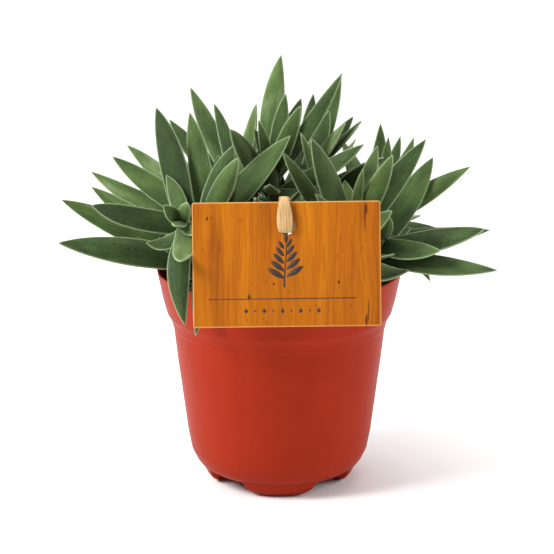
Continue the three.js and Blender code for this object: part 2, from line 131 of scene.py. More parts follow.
# Tilt, length and width of the leaves in each pair of a rosette, and how far a draw moves their turn,
# tilt and length
WHORLS = [(98, 52, 12), (76, 50, 12), (57, 45, 11), (39, 35, 9), (22, 24, 7)]
STRAY_TURN, STRAY_TILT, STRAY_LENGTH = 18, 10, 0.12
ROSETTE_BOW = 3
ROSETTE_FOOT = 0.7


# A shoot by the general rule: crossed pairs that rise and shorten towards the middle of the rosette
def rosette(crown, lean, first_turn, scale, seed):
    axis = unit(np.array(lean, float))
    across = unit(np.cross(axis, [0, 1, 0]))
    along = np.cross(axis, across)
    leaves = []
    for k, (tilt, long, wide) in enumerate(WHORLS):
        base = pair_base(np.array(crown), axis, len(WHORLS), k)
        for half in range(2):
            draw = seeded(seed, k, half)
            turn = math.radians(first_turn + 90 * k + 180 * half + draw * STRAY_TURN)
            lift = math.radians(tilt + draw * STRAY_TILT)
            length = long * scale * (1 + draw * STRAY_LENGTH)
            out = across * math.cos(turn) + along * math.sin(turn)
            tip = base + (axis * math.cos(lift) + out * math.sin(lift)) * length
            leaves.append([*tip, wide * (1 + scale) / 2, ROSETTE_BOW])
    foot = [crown[0] * ROSETTE_FOOT, crown[1] * ROSETTE_FOOT]
    return shoot_of(foot, crown, lean, lean, *leaves)


SHOOTS = {
    "front_left": shoot_of(
        [-36, -24], [-46, -36, 139], [-0.15, -0.8, 0.55], [-0.15, -0.8, 0.55],
        [-57, 0, 185, 13, 1], [-40, -56, 95, 11, -7],
        [-63, -27, 130, 7, 1], [-21, -25, 127, 10, 2],
        [-54, -15, 156, 8, 1], [-45, -71, 130, 11, 3],
        [-54, -44, 149, 7, 0], [-38, -47, 137, 7, 1],
        [-43, -41, 150, 7, 0], [-49, -44, 140, 7, 0],
    ),
    "centre_left": shoot_of(
        [-26, -20], [-35, -24, 140], [-0.1, -0.55, 0.8], [-0.1, -0.8, 0.6],
        [4, -17, 180, 13, 1], [-84, -53, 151, 12, 3],
        [-43, 1, 183, 11, 0], [-42, -57, 89, 11, -9],
        [-19, -35, 170, 11, 1], [-47, -14, 119, 10, 2],
        [-18, -16, 171, 11, 2], [-36, -5, 165, 9, 1],
    ),
    "left_low": shoot_of(
        [-40, -8], [-45, -10, 117], [-0.72, -0.05, 0.69], [-0.25, -0.8, 0.55],
        [-105, -29, 127, 14, -1], [-50, 11, 138, 10, 2],
        [-104, -17, 145, 12, 3], [-57, -24, 129, 8, 1],
        [-91, 1, 147, 10, 2], [-68, 11, 130, 10, 2],
    ),
    "left_high": shoot_of(
        [-36, 10], [-42, 10, 133], [-0.6, 0.05, 0.8], [-0.35, -0.75, 0.55],
        [-89, 27, 154, 10, 2], [-28, 33, 146, 10, 2],
        [-82, 27, 155, 11, 2], [-64, 25, 146, 8, 2],
        [-78, 31, 157, 9, 2], [-49, 36, 157, 9, 1],
        [-59, 26, 152, 8, 1], [-41, 31, 148, 8, 1],
    ),
    "mid_left": shoot_of(
        [-22, 16], [-23, 22, 146], [-0.2, 0.1, 0.97], [-0.1, -0.4, 0.9],
        [-51, 44, 172, 11, 2], [-11, 12, 185, 10, 2],
        [-43, 52, 186, 10, 1], [-2, 53, 172, 12, 3],
        [-37, 45, 176, 7, 1], [-9, 40, 162, 9, 2],
    ),
    "centre": shoot_of(
        [1, -28], [-3, -6, 158], [0.05, -0.2, 0.97], [0.05, -0.75, 0.65],
        [-17, -30, 155, 11, 2], [40, -20, 173, 10, 3],
        [-22, -31, 179, 11, 1], [10, -25, 151, 11, 3],
        [5, 20, 206, 12, 0], [-8, -27, 158, 9, 2],
        [28, 24, 200, 8, 1], [-12, -23, 184, 6, 1],
        [10, -18, 191, 9, 0], [-13, -19, 177, 6, 1],
        [11, 17, 187, 9, 1], [3, -4, 194, 8, 0],
    ),
    "mid_right": shoot_of(
        [16, 18], [13, 22, 149], [0.3, 0.1, 0.95], [0.2, -0.4, 0.9],
        [25, 53, 192, 8, 1], [35, 9, 172, 9, 2],
        [20, 50, 182, 9, 0], [35, 10, 175, 10, 1],
        [23, 40, 176, 9, 1], [37, 49, 171, 9, 1],
        [39, 8, 177, 8, 1], [13, 43, 171, 9, 1],
    ),
    "right": shoot_of(
        [26, -20], [36, -22, 135], [0.25, -0.45, 0.86], [0.1, -0.75, 0.65],
        [0, -31, 172, 9, 1], [62, -49, 120, 12, 8],
        [9, 7, 172, 8, 1], [71, 8, 169, 12, 1],
        [14, -35, 178, 12, 1], [53, -34, 144, 9, 2],
        [51, -31, 171, 10, 1], [26, -38, 131, 9, 2],
        [47, -2, 168, 9, 1], [18, -30, 153, 7, 1],
        [42, -26, 162, 5, 0], [31, -10, 153, 7, 0],
    ),
    "far_right": shoot_of(
        [40, -6], [49, -8, 123], [0.6, -0.15, 0.78], [0.2, -0.78, 0.6],
        [103, -34, 117, 11, 1], [55, 11, 153, 11, 2],
        [95, -35, 133, 12, 4], [74, 22, 157, 13, 0],
        [79, -25, 125, 11, 2], [45, 6, 144, 9, 2],
        [52, -16, 137, 8, 0], [64, 6, 125, 7, 1],
    ),
    "back_right": shoot_of(
        [32, 24], [46, 24, 126], [0.5, 0.35, 0.79], [0.1, -0.7, 0.7],
        [104, 17, 121, 11, 3], [34, 58, 152, 11, 3],
        [93, 15, 154, 11, -1], [49, 46, 169, 10, 1],
        [78, 33, 118, 9, 1], [51, 33, 165, 8, 1],
        [63, 49, 161, 8, 1], [56, 55, 161, 8, 1],
        [52, 43, 140, 8, 1], [60, 39, 133, 8, 1],
    ),
    "back_left": rosette([-32, 36, 130], [-0.45, 0.55, 0.7], 45, 1, 1),
    "back_mid": rosette([2, 46, 134], [0.02, 0.6, 0.8], 50, 1.05, 2),
    "back_end": rosette([36, 45, 126], [0.35, 0.7, 0.62], 10, 1, 3),
    "front_low": rosette([18, -40, 116], [0.05, -0.3, 0.95], 35, 0.62, 4),
    "front_inner": rosette([-13, -42, 115], [-0.1, -0.3, 0.95], 15, 0.58, 5),
    "inner_left": rosette([-14, 2, 127], [-0.1, 0, 0.98], 5, 0.75, 6),
    "inner_right": rosette([21, 0, 124], [0.1, 0, 0.98], 60, 0.8, 7),
}


# Places of the leaves, by the same rule as the solids


def leaf_width(s):
    s = np.asarray(s, float)
    inner = BASE_SHARE + (1 - BASE_SHARE) * np.sin(np.pi / 2 * np.minimum(s / WIDEST_AT, 1))
    beyond = np.clip((s - WIDEST_AT) / (1 - WIDEST_AT), 0, 1)
    outer = (1 - beyond ** TAPER_POWER) ** TAPER_ROUND
    return np.where(s < WIDEST_AT, inner, outer)


# The rule's columns for all leaves
def leaf_table():
    rows = []
    for index, shoot in enumerate(SHOOTS.values()):
        for k, pair in enumerate(shoot["pairs"]):
            base = pair_base(shoot["crown"], shoot["axis"], len(shoot["pairs"]), k)
            face = shoot["face"]
            for x, y, z, width, bow in pair:
                tip = np.array([x, y, z], float)
                chord = unit(tip - base)
                outward = unit(chord * (face @ chord) - face)
                middle = (base + tip) / 2 + outward * 2 * bow
                rows.append((index, base, middle, tip, width, face))
    keys = ["shoot", "base", "middle", "tip", "width", "face"]
    return {key: np.array(column) for key, column in zip(keys, zip(*rows))}


# Place, run, side and up of leaves at shares s of their length
def leaf_frames(base, middle, tip, face, s):
    s = np.asarray(s)[None, :, None]
    base, middle, tip = base[:, None], middle[:, None], tip[:, None]
    place = base * (1 - s) ** 2 + middle * 2 * s * (1 - s) + tip * s * s
    run = unit((middle - base) * (1 - s) + (tip - middle) * s)
    side = unit(np.cross(face[:, None], tip - base))
    side = unit(side - run * (side * run).sum(-1, keepdims=True))
    return place, run, side, np.cross(run, side)


# A leaf's own frames
def frames_of(leaves, index, s):
    one = (leaves[key][index:index + 1] for key in ("base", "middle", "tip", "face"))
    return (value[0] for value in leaf_frames(*one, s))


def stem_curve(shoot, count):
    x, y = shoot["foot"]
    axis, crown = shoot["axis"], shoot["crown"]
    rise = [np.array([x, y, SOIL_TOP]), np.array([x, y, SOIL_TOP + STEM_RISE])]
    points = [*rise, crown - axis * STEM_LEAD, crown + axis]
    t = np.linspace(0, 1, count + 1)[:, None]
    weights = [(1 - t) ** 3, 3 * t * (1 - t) ** 2, 3 * t * t * (1 - t), t ** 3]
    return sum(w * p for w, p in zip(weights, points))


# Sizes of the leaves' sections along given directions
def extent(half, thin, side, up, direction):
    return np.hypot(half * (direction * side).sum(-1), thin * (direction * up).sum(-1))


# The mean of the vectors that fall on each row
def averaged(count, rows, vectors):
    total = np.zeros((count, 3))
    hits = np.zeros(count)
    np.add.at(total, rows, vectors)
    np.add.at(hits, rows, 1)
    return total / np.maximum(hits, 1)[:, None]


# How far the pot, the soil and the card push the leaves away
def push_of_solids(place, half, thin, side, up):
    push = np.zeros_like(place)
    radius = np.hypot(place[:, 0], place[:, 1])
    outward = np.c_[place[:, :2] / radius[:, None], np.zeros(len(place))]
    tall = extent(half, thin, side, up, np.array([0, 0, 1.0])) + HARD_GAP
    deep = extent(half, thin, side, up, outward) + HARD_GAP
    over_rim = (radius < RIM_RADIUS + deep) & (radius > RIM_RADIUS - RIM_BAND - deep)
    floor = np.where(over_rim, POT_HEIGHT, SOIL_TOP) + tall
    inside = radius < RIM_RADIUS - RIM_INSIDE
    push[:, 2] += np.where(inside, np.maximum(floor - place[:, 2], 0), 0) * SOLID_SHARE
    beside = ~inside & (place[:, 2] < POT_HEIGHT + tall)
    lack = np.where(beside, np.maximum(RIM_RADIUS + deep - radius, 0), 0)
    push += outward * (lack * SOLID_SHARE)[:, None]
    back = np.array([0, math.cos(CARD_LEAN), -math.sin(CARD_LEAN)])
    up_card = np.array([0, math.sin(CARD_LEAN), math.cos(CARD_LEAN)])
    offset = place - CARD_PLACE
    behind = np.abs(offset[:, 0]) < CARD_ACROSS / 2 + half
    behind &= np.abs(offset @ up_card) < CARD_TALL / 2 + half
    lack = extent(half, thin, side, up, back) + 2 * HARD_GAP - offset @ back
    return push + back * (np.where(behind, np.maximum(lack, 0), 0) * SOLID_SHARE)[:, None]


# Moves the leaves' middles and tips until they clear each other, the stems and the solids
def bend_clear(leaves):
    count = len(leaves["width"])
    s = np.arange(1, CLEAR_SAMPLES + 1) / CLEAR_SAMPLES
    share = leaf_width(s)
    half = (leaves["width"][:, None] / 2 * share).ravel()
    thin = (leaves["width"][:, None] * CLEAR_THICKNESS * np.maximum(share, LEAST_THIN)).ravel()
    owner = np.repeat(np.arange(count), CLEAR_SAMPLES)
    shoot = np.repeat(leaves["shoot"], CLEAR_SAMPLES)
    free = np.tile(s > FREE_SHARE, count)
    posts = np.concatenate([stem_curve(one, STEM_POSTS) for one in SHOOTS.values()])
    post_shoot = np.repeat(np.arange(len(SHOOTS)), STEM_POSTS + 1)
    meets = (owner[:, None] != owner) & ((shoot[:, None] != shoot) | (free[:, None] & free))
    meets_post = shoot[:, None] != post_shoot
    weights = [(leaves["tip"], s ** 2), (leaves["middle"], 2 * s * (1 - s))]
    for _ in range(CLEAR_ROUNDS):
        frames = leaf_frames(leaves["base"], leaves["middle"], leaves["tip"], leaves["face"], s)
        place, _, side, up = (value.reshape(-1, 3) for value in frames)
        square = (place ** 2).sum(1)
        near = square[:, None] + square - 2 * place @ place.T < NEARBY ** 2
        one, other = np.nonzero(near & meets)
        apart = place[one] - place[other]
        distance = np.linalg.norm(apart, axis=1)
        apart /= distance[:, None]
        reach = extent(half[one], thin[one], side[one], up[one], apart)
        reach += extent(half[other], thin[other], side[other], up[other], apart)
        overlap = reach + LEAF_GAP - distance
        hit = (overlap > 0) & (distance < NEARBY)
        push = averaged(len(place), one[hit], apart[hit] * overlap[hit, None] / 2)
        away = place[:, None] - posts
        distance = np.linalg.norm(away, axis=-1)
        one, post = np.nonzero(meets_post & (distance < NEARBY))
        away = away[one, post] / distance[one, post][:, None]
        overlap = extent(half[one], thin[one], side[one], up[one], away) + STEM_RADIUS + HARD_GAP
        overlap -= distance[one, post]
        hit = overlap > 0
        push += averaged(len(place), one[hit], away[hit] * overlap[hit, None])
        push += push_of_solids(place, half, thin, side, up)
        push = push.reshape(count, CLEAR_SAMPLES, 3)
        pushed = (push != 0).any(-1)
        for point, weight in weights:
            total = (push * weight[None, :, None]).sum(1)
            point += total * (BEND_SHARE / np.maximum((pushed * weight).sum(1), 0.5))[:, None]


# Meshes and pieces


# Puts an object with this data into the scene
def placed(name, data):
    thing = bpy.data.objects.new(name, data)
    bpy.context.scene.collection.objects.link(thing)
    return thing


# Gathers the parts of one piece, with a kind of material for each part and values for each point
class Gather:
    def __init__(self, *keys):
        self.vertices, self.faces, self.kinds = [], [], []
        self.values = {key: [] for key in keys}
        self.count = 0

    def add(self, vertices, faces, kind=0, **values):
        self.faces.extend(tuple(i + self.count for i in face) for face in faces)
        self.kinds.extend([kind] * len(faces))
        self.vertices.append(vertices)
        self.count += len(vertices)
        for key, column in self.values.items():
            value = np.asarray(values.get(key, 0.0), float)
            column.append(np.broadcast_to(value, (len(vertices),) + value.shape[1:]))

    def piece(self, name, materials, slot, *replaced):
        mesh = bpy.data.meshes.new(name)
        metres = np.concatenate(self.vertices) * MM + POT_PLACE
        mesh.from_pydata(metres.tolist(), [], self.faces)
        mesh.polygons.foreach_set("use_smooth", np.ones(len(mesh.polygons), bool))
        mesh.polygons.foreach_set("material_index", np.array(self.kinds, np.int32))
        for key, column in self.values.items():
            values = np.concatenate(column).astype(np.float32)
            kind, field = ("FLOAT", "value") if values.ndim == 1 else ("FLOAT_VECTOR", "vector")
            mesh.attributes.new(key, kind, "POINT").data.foreach_set(field, values.ravel())
        for one in materials:
            mesh.materials.append(one)
        mesh.update()
        piece = placed(name, mesh)
        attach(piece, "root")
        if replaced:
            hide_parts(*replaced)
        return piece


# Faces between rings of points. The ends are capped, left open, or joined to each other.
def ring_faces(rings, around, ends="capped"):
    faces = []
    for k in range(rings if ends == "joined" else rings - 1):
        low, high = k * around, (k + 1) % rings * around
        for a in range(around):
            b = (a + 1) % around
            faces.append((low + a, low + b, high + b, high + a))
    if ends == "capped":
        faces.append(tuple(range(around))[::-1])
        faces.append(tuple((rings - 1) * around + a for a in range(around)))
    return faces


# A tube of rings along a path, with radii per ring
def tube_rings(path, radii, around):
    run = unit(np.gradient(path, axis=0))
    side = unit(np.cross(run, [0.3, 1.0, 0.2]))
    up = np.cross(run, side)
    angle = np.linspace(0, 2 * np.pi, around, endpoint=False)
    ring = side[:, None] * np.cos(angle)[None, :, None] + up[:, None] * np.sin(angle)[None, :, None]
    return (path[:, None] + ring * radii[:, None, None]).reshape(-1, 3)


# Materials


# A material being made: short calls add its nodes, and use() links one to its shader
class Look:
    def __init__(self, name, roughness, **sockets):
        self.material = bpy.data.materials.new(name)
        self.material.use_nodes = True
        self.tree = self.material.node_tree
        self.shader = self.tree.nodes["Principled BSDF"]
        for key, value in {"Roughness": roughness, **sockets}.items():
            self.shader.inputs[key.replace("_", " ")].default_value = value

    def use(self, key, socket):
        self.tree.links.new(socket, self.shader.inputs[key])

    def node(self, kind, inputs=None, **settings):
        node = self.tree.nodes.new("ShaderNode" + kind)
        for key, value in settings.items():
            setattr(node, key, value)
        for key, value in (inputs or {}).items():
            if isinstance(value, bpy.types.NodeSocket):
                self.tree.links.new(value, node.inputs[key])
            else:
                node.inputs[key].default_value = value
        return node

    def attribute(self, name, output="Fac"):
        return self.node("Attribute", attribute_name=name).outputs[output]

    def place(self):
        return self.node("TexCoord").outputs["Object"]

    # Stops are a position and a colour or a grey
    def ramp(self, factor, *stops):
        node = self.node("ValToRGB", {"Fac": factor})
        points = node.color_ramp.elements
        while len(points) < len(stops):
            points.new(0.5)
        for point, (position, colour) in zip(points, stops):
            point.position = position
            point.color = (*colour, 1) if isinstance(colour, tuple) else (colour, colour, colour, 1)
        return node.outputs["Color"]

    # The base, with a colour over it where the mask is high
    def over(self, base, colour, mask, strength):
        share = self.maths("MULTIPLY", mask, strength)
        return self.node("Mix", {0: share, 6: base, 7: (*colour, 1)}, data_type="RGBA").outputs[2]

    def maths(self, operation, first, second, third=0.5):
        return self.node("Math", {0: first, 1: second, 2: third}, operation=operation).outputs[0]

    def vectors(self, operation, first, second, output=0):
        return self.node("VectorMath", {0: first, 1: second}, operation=operation).outputs[output]

    # Noise at one scale, or stretched by a scale for each axis
    def noise(self, vector, scale, detail=3.0, roughness=0.5):
        if isinstance(scale, tuple):
            vector, scale = self.vectors("MULTIPLY", vector, scale), 1.0
        inputs = {"Vector": vector, "Scale": scale, "Detail": detail, "Roughness": roughness}
        return self.node("TexNoise", inputs).outputs["Fac"]

    def bump(self, height, distance, strength, normal=None):
        inputs = {"Height": height, "Distance": distance * MM, "Strength": strength}
        if normal is not None:
            inputs["Normal"] = normal
        return self.node("Bump", inputs).outputs["Normal"]


LEAF_TONES = [(0.006, 0.015, 0.004), (0.022, 0.048, 0.011), (0.064, 0.112, 0.028), (0.170, 0.225, 0.098)]
VELVET, MARGIN_PALE = (0.22, 0.29, 0.12), (0.36, 0.46, 0.24)
# The root colour is painted shade where the leaves crowd, and in part the leaf's own deeper green at its
# base
TIP_BROWN, ROOT_GREEN_AND_SHADE = (0.045, 0.040, 0.026), (0.012, 0.034, 0.006)


# Velvety green: cloudy along the leaf, with a fine grain, a brown tip, painted shade towards the root that
# is partly the leaf's own deeper green there, and a pale margin
def leaf_material():
    look = Look("velvet_leaf", 0.62, Specular_IOR_Level=0.14, Sheen_Weight=0.22, Sheen_Roughness=0.4,
                Sheen_Tint=(0.80, 0.95, 0.55, 1))
    place = look.attribute("leaf_place", "Vector")
    along = look.attribute("along")
    clouds = look.noise(place, (0.14, 0.05, 1.0), 4.0)
    streaks = look.noise(place, (1.5, 0.06, 1.0), 2.0)
    grain = look.noise(place, (2.2, 2.2, 1.0), 2.0, 0.7)
    mottle = look.maths("MULTIPLY_ADD", clouds, 1.2, look.attribute("tone"))
    mottle = look.maths("MULTIPLY_ADD", streaks, 0.35, mottle)
    mottle = look.maths("SUBTRACT", mottle, 0.80)
    colour = look.ramp(mottle, *zip((0.0, 0.35, 0.7, 1.0), LEAF_TONES))
    colour = look.over(colour, VELVET, look.ramp(grain, (0.42, 0.0), (0.68, 1.0)), 0.2)
    colour = look.over(colour, TIP_BROWN, look.ramp(along, (0.94, 0.0), (0.985, 1.0)), 0.7)
    # Painted shade: darker towards each leaf's root, where leaves crowd and shade one another; in part the
    # leaf's own deeper green at its base
    colour = look.over(colour, ROOT_GREEN_AND_SHADE, look.ramp(along, (0.0, 1.0), (0.6, 0.0)), 0.75)
    look.use("Base Color", look.over(colour, MARGIN_PALE, look.attribute("margin"), 0.55))
    spread = look.vectors("MULTIPLY", place, (2.3, 2.0, 1.0))
    cells = look.node("TexVoronoi", {"Vector": spread, "Scale": 1.0}, feature="SMOOTH_F1")
    papillae = look.bump(look.maths("SUBTRACT", 1.0, cells.outputs["Distance"]), 0.28, 0.9)
    look.use("Normal", look.bump(clouds, 0.5, 0.45, papillae))
    return look.material


def hair_material():
    look = Look("leaf_hair", 0.55, Sheen_Weight=0.2)
    shade = look.noise(look.attribute("leaf_place", "Vector"), 0.5)
    look.use("Base Color", look.ramp(shade, (0.3, (0.30, 0.40, 0.24)), (0.7, (0.50, 0.60, 0.42))))
    return look.material


STEM_TONES = [(0.030, 0.045, 0.014), (0.060, 0.080, 0.026), (0.11, 0.10, 0.045)]


def stem_material():
    look = Look("young_stem", 0.65, Specular_IOR_Level=0.3, Sheen_Weight=0.2)
    rings = look.noise(look.place(), (300.0, 300.0, 1500.0))
    look.use("Base Color", look.ramp(rings, *zip((0.25, 0.55, 0.85), STEM_TONES)))
    look.use("Normal", look.bump(rings, 0.4, 0.5))
    return look.material


POT_DARK, POT_LIGHT = (0.235, 0.014, 0.003), (0.280, 0.019, 0.004)
POT_SPECK, POT_SCRATCH = (0.38, 0.06, 0.03), (0.50, 0.15, 0.08)


# Moulded plastic: soft clouds and flow marks, fine specks and a few faint scratches round the wall
def pot_material():
    look = Look("terracotta_plastic", 0.45, Specular_IOR_Level=0.05)
    place = look.place()
    clouds = look.noise(place, 22.0, 4.0, 0.6)
    specks = look.noise(place, 900.0, 2.0, 0.6)
    flow = look.noise(place, (90.0, 90.0, 9.0))
    scratches = look.noise(place, (60.0, 60.0, 1400.0), 2.0, 0.6)
    blend = look.maths("MULTIPLY_ADD", clouds, 0.6, look.maths("MULTIPLY", flow, 0.4))
    colour = look.ramp(blend, (0.3, POT_DARK), (0.7, POT_LIGHT))
    colour = look.over(colour, POT_SPECK, specks, 0.10)
    colour = look.over(colour, POT_SCRATCH, look.ramp(scratches, (0.70, 0.0), (0.76, 1.0)), 0.10)
    look.use("Base Color", colour)
    look.use("Roughness", look.ramp(blend, (0.25, 0.36), (0.75, 0.50)))
    look.use("Normal", look.bump(flow, 0.25, 0.3, look.bump(specks, 0.05, 0.5)))
    return look.material


PEAT_TONES = [(0.008, 0.005, 0.003), (0.030, 0.019, 0.011), (0.075, 0.050, 0.030)]


def soil_material():
    look = Look("dark_peat", 0.92, Specular_IOR_Level=0.2)
    place = look.place()
    crumbs = look.noise(place, 420.0, 6.0, 0.7)
    colour = look.ramp(crumbs, *zip((0.3, 0.55, 0.8), PEAT_TONES))
    look.use("Base Color", look.over(colour, (0.045, 0.030, 0.018), look.noise(place, 60.0), 0.4))
    look.use("Normal", look.bump(crumbs, 0.9, 0.8))
    return look.material


def grain_material(name, dark, pale):
    look = Look(name, 0.85, Specular_IOR_Level=0.25)
    shade = look.noise(look.place(), 350.0, 4.0, 0.65)
    look.use("Base Color", look.ramp(shade, (0.3, dark), (0.75, pale)))
    look.use("Normal", look.bump(shade, 0.35, 0.7))
    return look.material


CARD_TONES = [(0.21, 0.048, 0.002), (0.33, 0.090, 0.003), (0.41, 0.122, 0.003), (0.52, 0.175, 0.006)]
CARD_STREAK, CARD_FLECK = (0.17, 0.034, 0.002), (0.12, 0.022, 0.002)
CARD_EDGE, CRACK_COLOUR = (0.62, 0.33, 0.10), (0.055, 0.014, 0.003)
# Each crack: its place across the card, its middle up the card, half its length, and half its width
CARD_CRACKS = [
    (36.2, 22.0, 7.6, 0.42), (36.9, 25.2, 3.2, 0.8), (37.5, -21.8, 6.8, 0.32),
    (36.6, -26.0, 3.4, 0.7), (17.2, 1.5, 8.5, 0.12), (-31.0, 8.0, 3.0, 0.14),
]
# Each knot: its place across and up the card, and its radius
CARD_KNOTS = [(-17.5, -15.0, 0.9), (24.0, -8.5, 0.7), (-6.0, -9.0, 0.55), (-36.5, 21.5, 0.7)]
KNOT_SQUEEZE = 0.6


# Dark where a crack or a knot is: short ragged lines along the grain, and small round eyes
def card_cracks(look, place):
    spot = look.node("SeparateXYZ", {"Vector": place})
    ragged = look.noise(place, (0.0, 1.1, 1.0), 4.0, 0.7)
    fray = look.noise(place, (3.0, 0.8, 1.0), 3.0, 0.7)
    across = look.maths("MULTIPLY_ADD", ragged, -1.8, spot.outputs["X"])
    squeezed = look.vectors("MULTIPLY", place, (1.0, KNOT_SQUEEZE, 0.0))
    marks = []
    for middle, up, half, width in CARD_CRACKS:
        aside = look.maths("ABSOLUTE", look.maths("SUBTRACT", across, middle - 0.9), 0)
        along = look.maths("ABSOLUTE", look.maths("SUBTRACT", spot.outputs["Y"], up), 0)
        along = look.maths("POWER", look.maths("DIVIDE", along, half), 2)
        close = look.maths("ADD", look.maths("DIVIDE", aside, width), along)
        close = look.maths("SUBTRACT", 1.7, close)
        marks.append(look.maths("MULTIPLY_ADD", fray, -1.1, close))
    for x, y, radius in CARD_KNOTS:
        gap = look.vectors("DISTANCE", squeezed, (x, y * KNOT_SQUEEZE, 0), "Value")
        marks.append(look.maths("SUBTRACT", 1.1, look.maths("DIVIDE", gap, radius)))
    dark = marks[0]
    for mark in marks[1:]:
        dark = look.maths("MAXIMUM", dark, mark)
    return look.ramp(dark, (0.05, 0.0), (0.55, 1.0))


# Wood look of the card: wandering vertical grain, darker streaks and flecks, a few knots and cracks
def card_material():
    look = Look("wood_look_card", 0.5, Specular_IOR_Level=0.12)
    place = look.attribute("card_place", "Vector")
    wander = look.maths("MULTIPLY", look.noise(place, (0.05, 0.02, 1.0), 2.0), 7.0)
    bent = look.vectors("ADD", place, look.node("CombineXYZ", {"X": wander}).outputs[0])
    fibres = look.noise(bent, (1.5, 0.035, 1.0), 5.0, 0.65)
    bands = look.noise(bent, (0.16, 0.010, 1.0))
    fine = look.noise(bent, (4.5, 0.12, 1.0), 3.0, 0.7)
    flecks = look.noise(place, (0.9, 0.22, 1.0), 1.0)
    blend = look.maths("MULTIPLY_ADD", fibres, 0.5, look.maths("MULTIPLY", bands, 0.5))
    colour = look.ramp(blend, *zip((0.32, 0.46, 0.58, 0.72), CARD_TONES))
    colour = look.over(colour, CARD_STREAK, look.ramp(fine, (0.52, 0.0), (0.72, 1.0)), 0.35)
    colour = look.over(colour, CARD_FLECK, look.ramp(flecks, (0.70, 0.0), (0.76, 1.0)), 0.5)
    colour = look.over(colour, CARD_EDGE, look.attribute("pale_edge"), 0.8)
    look.use("Base Color", look.over(colour, CRACK_COLOUR, card_cracks(look, place), 0.85))
    look.use("Normal", look.bump(fibres, 0.12, 0.4))
    return look.material


RAFFIA_TONES = [(0.20, 0.095, 0.028), (0.42, 0.245, 0.095), (0.58, 0.385, 0.175), (0.68, 0.50, 0.27)]


def raffia_material():
    look = Look("dry_raffia", 0.7, Specular_IOR_Level=0.3, Sheen_Weight=0.15)
    fibres = look.noise(look.attribute("fibre_place", "Vector"), (3.2, 0.06, 1.0), 4.0, 0.65)
    look.use("Base Color", look.ramp(fibres, *zip((0.28, 0.45, 0.62, 0.8), RAFFIA_TONES)))
    look.use("Normal", look.bump(fibres, 0.3, 0.7))
    return look.material


def plain_material(name, colour, roughness):
    return Look(name, roughness, Base_Color=(*colour, 1)).material


# Leaves
BLADE, HAIR, STEM = range(3)
LEAF_STATIONS = np.concatenate([np.linspace(0, 0.86, 24), [0.89, 0.92, 0.945, 0.965, 0.98, 0.99, 0.997]])
LEAST_HALF, TIP_ROUND, TIP_REACH = 0.05, 0.03, 0.25
SWELL_MOST, SWELL_START = 0.85, 0.15
CREASE_DEPTH, CREASE_WIDTH = 0.07, 0.7
LIP_HEIGHT, LIP_PLACE, LIP_WIDTH, LIP_FULL = 0.16, 0.2, 0.22, 1.5
KEEL_HEIGHT, KEEL_WIDTH = 0.12, 0.3
WAVE_HEIGHT = 0.16
MARGIN_WIDTH = 0.5
TONE_RANGE = (0.22, 0.78)
HAIR_STEP, HAIR_LENGTH, HAIR_RADIUS, HAIR_ROOT, HAIR_SPAN = 0.42, 0.5, 0.055, 0.12, 0.95
HAIR_FACES = [(0, 1, 3), (1, 2, 3), (2, 0, 3), (2, 1, 0)]
# How far each leaf's pattern is moved from the last one's
PATTERN_STEP = 7.3


# Points across a leaf's upper side, from one margin to the other, closest together at the margins
def across_points(half):
    edge = np.array([0.0, 0.12, 0.3, 0.55, 0.95]) * np.minimum(half / 2.2, 1)[:, None]
    inner = edge[:, -1:] + (half[:, None] - edge[:, -1:]) * np.array([0.22, 0.45, 0.7, 1.0])
    left = np.concatenate([edge, inner], axis=1) - half[:, None]
    return np.concatenate([left, -left[:, -2::-1]], axis=1)


# Values across the upper side, and then back across the lower
def looped(upper, lower):
    return np.concatenate([upper, lower[:, -2:0:-1]], axis=1)


